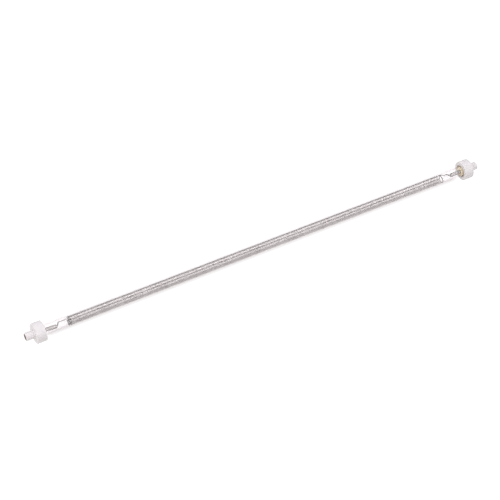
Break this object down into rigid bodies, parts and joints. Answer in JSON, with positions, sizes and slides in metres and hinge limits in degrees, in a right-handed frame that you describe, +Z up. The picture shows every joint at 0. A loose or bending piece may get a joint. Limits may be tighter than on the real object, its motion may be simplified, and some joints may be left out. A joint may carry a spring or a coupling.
{
  "type": "quartz tube heat lamp",
  "caption": "Straight infrared heat lamp: a close-wound resistance coil in a clear quartz tube with a round ceramic cap, nose and metal end contact at each end.",
  "frame": {"origin": "middle of the lamp, on the tube's axis, halfway between the two contact faces", "axes": "+X along the tube towards the right-hand cap, +Z up as the lamp lies on a table, +Y away from the viewer"},
  "size_m": [0.403, 0.0158, 0.0158],
  "materials": {
    "quartz": "clear fused quartz, polished, slightly drawn",
    "resistance_wire": "iron-chrome-aluminium resistance wire, bright drawn with a light grey oxide",
    "ferrule_metal": "nickel-plated tube, satin grey, crimped",
    "ceramic": "fired white steatite, satin, unglazed",
    "tan_cement": "matt tan ceramic cement in the tube's mouth",
    "pale_cement": "matt off-white ceramic cement round the tube",
    "contact_metal": "tarnished dark bronze"
  },
  "bodies": {
    "root": {"quartz_tube": "quartz", "heating_coil": "resistance_wire", "left_ceramic_cap": "ceramic", "right_ceramic_cap": "ceramic", "left_bond_cement": "pale_cement", "right_bond_cement": "pale_cement", "left_plug_cement": "tan_cement", "right_plug_cement": "tan_cement", "left_end_contact": "contact_metal", "right_end_contact": "contact_metal", "left_terminal_ferrule": "ferrule_metal", "right_terminal_ferrule": "ferrule_metal"}
  },
  "joints": []
}
